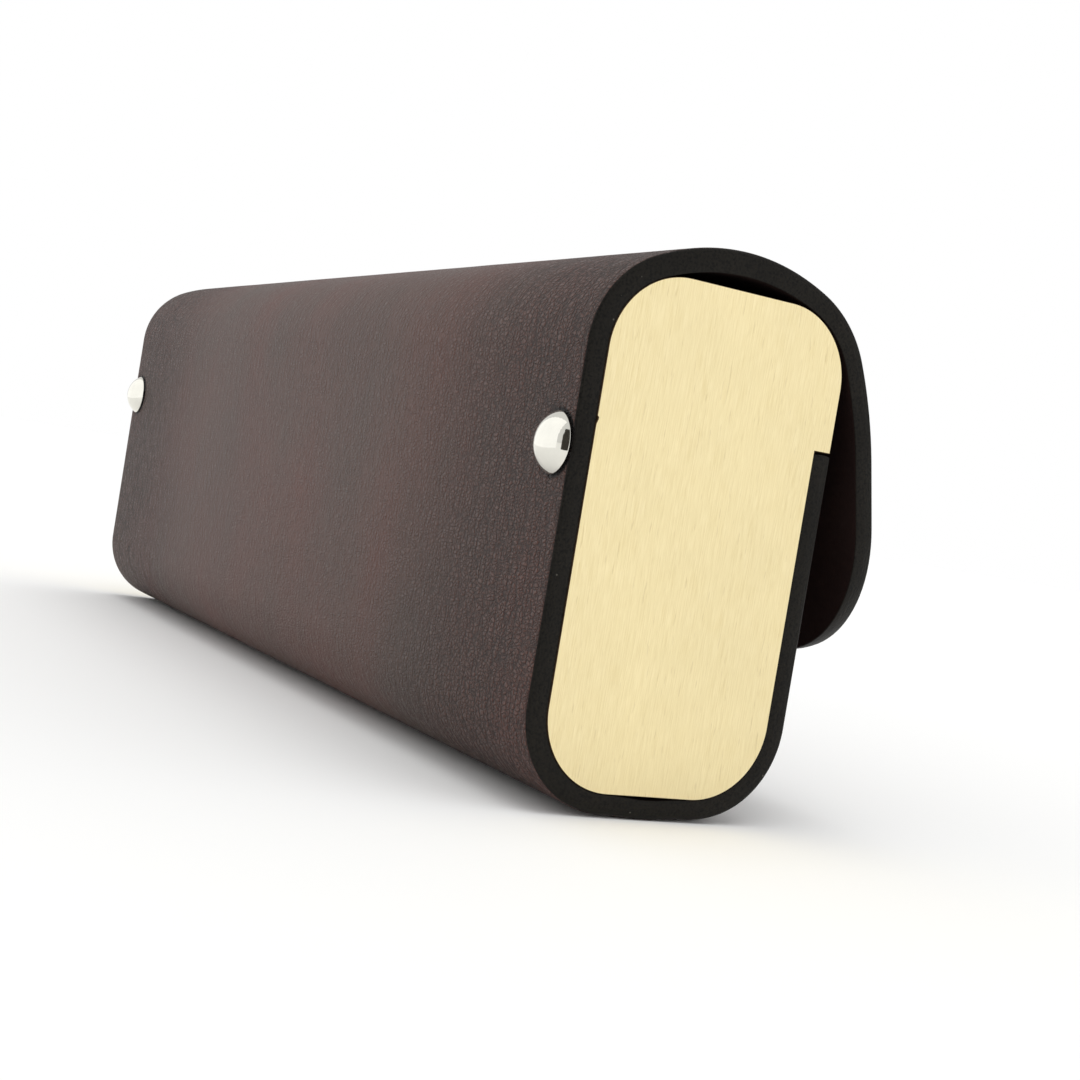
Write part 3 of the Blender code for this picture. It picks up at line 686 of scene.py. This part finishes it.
def end_block(name, low, high, finishes):
    """A block between two corners of its box, with its ledge on the front."""
    back, front = -high.y, -low.y
    lower_front = front - LEDGE_STEP
    ledge = high.z - LEDGE_BELOW_TOP
    nick = low.z + NICK_UP
    outline = arc((lower_front - BLOCK_CORNER, low.z + BLOCK_CORNER), BLOCK_CORNER, -90, 0)
    outline += [(lower_front, ledge), (front, ledge)]
    outline += arc((front - BLOCK_FRONT_CORNER, high.z - BLOCK_FRONT_CORNER), BLOCK_FRONT_CORNER,
                   0, 90)
    outline += arc((back + BLOCK_CORNER, high.z - BLOCK_CORNER), BLOCK_CORNER, 90, 180)
    outline += [(back, nick), (back + NICK, nick - NICK), (back + NICK, nick - 2 * NICK),
                (back, nick - 5 * NICK)]
    outline += arc((back + BLOCK_CORNER, low.z + BLOCK_CORNER), BLOCK_CORNER, 180, 270)
    shape = bmesh.new()
    face = shape.faces.new([shape.verts.new((low.x, -place[0], place[1])) for place in outline])
    grown = bmesh.ops.extrude_face_region(shape, geom=[face])
    moved = [part for part in grown["geom"] if isinstance(part, bmesh.types.BMVert)]
    bmesh.ops.translate(shape, verts=moved, vec=(high.x - low.x, 0, 0))
    bmesh.ops.recalc_face_normals(shape, faces=shape.faces)
    ends = [face for face in shape.faces if len(face.verts) > 4]
    rims = list({edge for face in ends for edge in face.edges})
    for face in shape.faces:
        face.material_index = 0 if face in ends else 1
    bmesh.ops.bevel(shape, geom=rims, offset=SCORCH, segments=2, affect="EDGES", profile=0.5,
                    material=1)
    return add_piece(name, shape, BLOCK_SHARP, finishes)


birch_finishes = (birch(False), birch(True))
for end in ("left", "right"):
    node = "wood_end_" + end
    block = end_block("birch_block_" + end, *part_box(node), birch_finishes)
    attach(block, "case_body")
    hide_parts(node)


# ---------------------------------------------------------------- nails
# Domed upholstery nails of polished nickel plate, one at each end of the back and, under
# the flap, of the front. They are driven through the leather into the blocks, and each head
# sits in a seat that it has pressed into the leather.

TURNED_SIDES = 64
METAL_SHARP = 50.0
MOST_OF_A_RUN = 0.45            # what one rounded corner may take of the run beside it


def softened(profile, radius, steps=3):
    """A profile with its corners rounded, but not its two ends."""
    rounded = [profile[0]]
    for before, corner, after in zip(profile, profile[1:], profile[2:]):
        corner = Vector(corner)
        ways = [Vector(before) - corner, Vector(after) - corner]
        ease = min([radius] + [way.length * MOST_OF_A_RUN for way in ways])
        start, end = (corner + way.normalized() * ease for way in ways)
        for step in range(steps + 1):
            t = step / steps
            rounded.append(tuple(start * (1 - t) ** 2 + corner * 2 * t * (1 - t) + end * t ** 2))
    return rounded + [profile[-1]]


def turned(name, profile, place, outward, finish):
    """A piece turned about a line. Its profile is (radius, height), from axis to axis."""
    shape = bmesh.new()
    rings = []
    for radius, height in profile:
        count = TURNED_SIDES if radius > 0 else 1
        turns = [2.0 * math.pi * side / count for side in range(count)]
        rings.append([shape.verts.new((radius * math.cos(turn), radius * math.sin(turn), height))
                      for turn in turns])
    pairs = list(zip(rings, rings[1:]))
    if len(rings[0]) > 1:
        pairs.append((rings[-1], rings[0]))
    for low, high in pairs:
        for side in range(TURNED_SIDES):
            after = (side + 1) % TURNED_SIDES
            corners = [low[side % len(low)], low[after % len(low)],
                       high[after % len(high)], high[side % len(high)]]
            shape.faces.new(list(dict.fromkeys(corners)))
    bmesh.ops.recalc_face_normals(shape, faces=shape.faces)
    piece = add_piece(name, shape, METAL_SHARP, [finish])
    turn = Vector((0, 0, 1)).rotation_difference(outward).to_matrix().to_4x4()
    piece.matrix_world = Matrix.Translation(place) @ turn
    return piece


def dome(radius, rise, base, steps=16):
    """The upper side of a cap of a ball, from its rim to its top."""
    ball = (radius ** 2 + rise ** 2) / (2.0 * rise)
    widest = math.asin(radius / ball)
    turns = [widest * (1.0 - step / steps) for step in range(steps)]
    points = [(ball * math.sin(turn), base + rise - ball * (1.0 - math.cos(turn)))
              for turn in turns]
    return points + [(0.0, base + rise)]


# Hairlines: the faint straight scratches that polishing leaves on plated metal.
hairlines = bpy.data.node_groups.new("hairlines", "ShaderNodeTree")
hairlines.interface.new_socket("Lines per metre", in_out="INPUT", socket_type="NodeSocketFloat")
hairlines.interface.new_socket("Shine", in_out="INPUT", socket_type="NodeSocketFloat")
hairlines.interface.new_socket("Dull", in_out="INPUT", socket_type="NodeSocketFloat")
hairlines.interface.new_socket("Roughness", in_out="OUTPUT", socket_type="NodeSocketFloat")
group_in = hairlines.nodes.new("NodeGroupInput")
group_out = hairlines.nodes.new("NodeGroupOutput")
place = add_node(hairlines, "ShaderNodeTexCoord").outputs["Object"]
lines = add_node(hairlines, "ShaderNodeTexNoise", Vector=stretched(hairlines, place, 1.0, 0.06),
                 Scale=group_in.outputs["Lines per metre"], Detail=3.0)
polish = add_node(hairlines, "ShaderNodeMapRange", Value=lines.outputs["Fac"], From_Min=0.35,
                  From_Max=0.75, To_Min=group_in.outputs["Shine"],
                  To_Max=group_in.outputs["Dull"])
hairlines.links.new(polish.outputs["Result"], group_out.inputs["Roughness"])


HAIRLINES_PER_METRE = 5000.0


def plated(name, colour, shine, dull):
    """A polished metal with hairlines and a little tarnish."""
    material, tree, shader = new_material(name)
    lines = tree.nodes.new("ShaderNodeGroup")
    lines.node_tree = hairlines
    lines.inputs["Lines per metre"].default_value = HAIRLINES_PER_METRE
    lines.inputs["Shine"].default_value = shine
    lines.inputs["Dull"].default_value = dull
    tree.links.new(lines.outputs["Roughness"], shader.inputs["Roughness"])
    place = add_node(tree, "ShaderNodeTexCoord").outputs["Object"]
    tarnish = mottled(tree, place, 400.0, 0.92)
    plate = blended(tree, 1.0, (*colour, 1), tarnish, "MULTIPLY")
    tree.links.new(plate, shader.inputs["Base Color"])
    shader.inputs["Metallic"].default_value = 1.0
    return material


nickel = plated("nickel_plate", (0.80, 0.785, 0.715), 0.04, 0.11)
NAIL_RADIUS = 0.00350
NAIL_STAND_OFF = 0.00016
NAIL_RISE = 0.00198
NAIL_LIP = 0.00008
SHANK_RADIUS = 0.0008
SHANK_LENGTH = 0.0107
SHANK_POINT = 0.0018
NAIL_SOFT = 0.00007             # radius of its rounded corners
leather_face = WALL + GRAIN_FACE
for where, facing in (("back", 1), ("front", -1)):
    for end in ("left", "right"):
        node = f"nail_{where}_{end}"
        low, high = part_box(node)
        middle = (low + high) / 2.0
        profile = [(0.0, -SHANK_LENGTH), (SHANK_RADIUS, SHANK_POINT - SHANK_LENGTH),
                   (SHANK_RADIUS, NAIL_STAND_OFF), (NAIL_RADIUS, NAIL_STAND_OFF)]
        profile += dome(NAIL_RADIUS, NAIL_RISE, NAIL_STAND_OFF + NAIL_LIP)
        profile = softened(profile, NAIL_SOFT)
        place = Vector((middle.x, facing * leather_face, middle.z))
        nail = turned("nickel_" + node, profile, place, Vector((0, facing, 0)), nickel)
        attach(nail, "case_body")
        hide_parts(node)


# ---------------------------------------------------------------- snap fastener
# A snap in the middle of the flap: a nickel cap outside, whose post is set in a socket ring
# inside, with a split steel spring, and a stud on the front wall held by a post. All but
# the cap are plated in black nickel.

CAP_RADIUS, CAP_RISE, CAP_LIP = 0.0062, 0.0014, 0.0004
CAP_POST, CAP_FLARE, CAP_TIP = 0.0015, 0.0021, 0.0035
SOCKET_RADIUS, SOCKET_HEIGHT, SOCKET_MOUTH = 0.0048, 0.0028, 0.0032
SOCKET_HOLE, SOCKET_FLOOR = 0.0018, 0.0008
GROOVE_OUT, GROOVE_LOW, GROOVE_HIGH = 0.0038, 0.0014, 0.0026
SPRING_WIRE, SPRING_UP, SPRING_SWEEP = 0.0003, 0.0020, 300.0
STUD_FLANGE, STUD_NECK, STUD_HEAD, STUD_HEIGHT = 0.0042, 0.0022, 0.0026, 0.0031
STUD_BORE, STUD_RECESS = 0.0013, 0.0018
POST_SHANK, POST_FLARE, POST_FLANGE, POST_THICK = 0.0010, 0.0015, 0.0045, 0.0006
WALL_THICK = 0.0027
CAP_FLARE_UP, CAP_FLARE_END, CAP_UNDER = 0.0003, 0.0005, 0.0004
CAP_RIM_INSIDE, CAP_RIM = 0.0007, 0.0005        # in from the edge
SOCKET_OFF_LEATHER = 0.0003
STUD_FLANGE_THICK, STUD_FILLET_UP = 0.0006, 0.0009
STUD_HEAD_UNDER, STUD_HEAD_LOW, STUD_HEAD_HIGH = 0.0012, 0.0008, 0.0005     # below its top
STUD_HEAD_EASE, STUD_RECESS_DEPTH = 0.0005, 0.0006
POST_EASE, POST_FLARE_DEPTH = 0.0004, 0.0003
CAP_SOFT, SNAP_SOFT = 0.00025, 0.0002           # radii of rounded corners

_, _, flap_heading = strip.at(flap_straight_at)
flap_out = Vector((0, math.sin(flap_heading), math.cos(flap_heading)))
low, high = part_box("snap_socket")
socket_half = (SOCKET_HEIGHT + LEATHER_TO_WOOD) / 2.0
flap_inside = (low + high) / 2.0 + flap_out * socket_half
flap_outside = flap_inside + flap_out * GRAIN_FACE
spring_steel = plated("spring_steel", (0.030, 0.029, 0.027), 0.35, 0.50)
black_nickel = plated("black_nickel", (0.014, 0.013, 0.0125), 0.38, 0.55)

cap_profile = [(0.0, -CAP_TIP), (CAP_POST, -CAP_TIP), (CAP_FLARE, CAP_FLARE_UP - CAP_TIP),
               (CAP_POST, CAP_FLARE_END - CAP_TIP), (CAP_POST, CAP_UNDER),
               (CAP_RADIUS - CAP_RIM_INSIDE, CAP_UNDER), (CAP_RADIUS - CAP_RIM, 0.0),
               (CAP_RADIUS, 0.0)]
cap_profile = softened(cap_profile + dome(CAP_RADIUS, CAP_RISE, CAP_LIP), CAP_SOFT)
cap = turned("nickel_snap_cap", cap_profile, flap_outside, flap_out, nickel)

socket_foot = FLESH_FACE + SOCKET_OFF_LEATHER
socket_profile = [(SOCKET_HOLE, socket_foot), (SOCKET_RADIUS, socket_foot),
                  (SOCKET_RADIUS, SOCKET_HEIGHT), (SOCKET_MOUTH, SOCKET_HEIGHT),
                  (SOCKET_MOUTH, GROOVE_HIGH), (GROOVE_OUT, GROOVE_HIGH),
                  (GROOVE_OUT, GROOVE_LOW), (SOCKET_MOUTH, GROOVE_LOW),
                  (SOCKET_MOUTH, SOCKET_FLOOR), (SOCKET_HOLE, SOCKET_FLOOR)]
socket = turned("nickel_snap_socket", softened(socket_profile, SNAP_SOFT), flap_inside,
                -flap_out, black_nickel)


def split_ring(name, radius, wire, sweep, place, outward, finish, steps=60, sides=12):
    """A ring of round wire with a gap."""
    shape = bmesh.new()
    rings = []
    for step in range(steps + 1):
        turn = math.radians(sweep) * (step / steps - 0.5)
        ring = []
        for side in range(sides):
            roll = 2.0 * math.pi * side / sides
            reach = radius + wire * math.cos(roll)
            ring.append(shape.verts.new((reach * math.cos(turn), reach * math.sin(turn),
                                         wire * math.sin(roll))))
        rings.append(ring)
    for before, after in zip(rings, rings[1:]):
        for side in range(sides):
            beside = (side + 1) % sides
            shape.faces.new((before[side], before[beside], after[beside], after[side]))
    shape.faces.new(rings[0])
    shape.faces.new(rings[-1])
    bmesh.ops.recalc_face_normals(shape, faces=shape.faces)
    piece = add_piece(name, shape, METAL_SHARP, [finish])
    turn = Vector((0, 0, 1)).rotation_difference(outward).to_matrix().to_4x4()
    piece.matrix_world = Matrix.Translation(place) @ turn
    return piece


spring = split_ring("steel_snap_spring", SOCKET_MOUTH, SPRING_WIRE, SPRING_SWEEP,
                    flap_inside - flap_out * SPRING_UP, -flap_out, spring_steel)

low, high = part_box("snap_stud")
wall_place = Vector((0, -leather_face, (low.z + high.z) / 2.0))
wall_out = Vector((0, -1, 0))
stud_profile = [(STUD_BORE, 0.0), (STUD_FLANGE, 0.0), (STUD_FLANGE, STUD_FLANGE_THICK),
                (STUD_NECK, STUD_FILLET_UP), (STUD_NECK, STUD_HEIGHT - STUD_HEAD_UNDER),
                (STUD_HEAD, STUD_HEIGHT - STUD_HEAD_LOW),
                (STUD_HEAD, STUD_HEIGHT - STUD_HEAD_HIGH),
                (STUD_HEAD - STUD_HEAD_EASE, STUD_HEIGHT), (STUD_RECESS, STUD_HEIGHT),
                (STUD_RECESS, STUD_HEIGHT - STUD_RECESS_DEPTH),
                (STUD_BORE, STUD_HEIGHT - STUD_RECESS_DEPTH)]
stud = turned("nickel_snap_stud", softened(stud_profile, SNAP_SOFT), wall_place, wall_out,
              black_nickel)

post_profile = [(0.0, -WALL_THICK - POST_THICK),
                (POST_FLANGE - POST_EASE, -WALL_THICK - POST_THICK),
                (POST_FLANGE, -WALL_THICK - POST_THICK / 2.0), (POST_FLANGE, -WALL_THICK),
                (POST_SHANK, -WALL_THICK), (POST_SHANK, STUD_HEIGHT - POST_FLARE_DEPTH),
                (POST_FLARE, STUD_HEIGHT - POST_FLARE_DEPTH), (POST_SHANK, STUD_HEIGHT),
                (0.0, STUD_HEIGHT)]
post = turned("nickel_snap_post", softened(post_profile, SNAP_SOFT), wall_place, wall_out,
              black_nickel)

for piece, node, body, slot in ((cap, "snap_cap", "flap", "nickel"),
                                (socket, "snap_socket", "flap", "black_nickel"),
                                (spring, "snap_socket_spring", "flap", "spring_steel"),
                                (stud, "snap_stud", "case_body", "black_nickel"),
                                (post, "snap_post", "case_body", "black_nickel")):
    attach(piece, body)
    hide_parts(node)
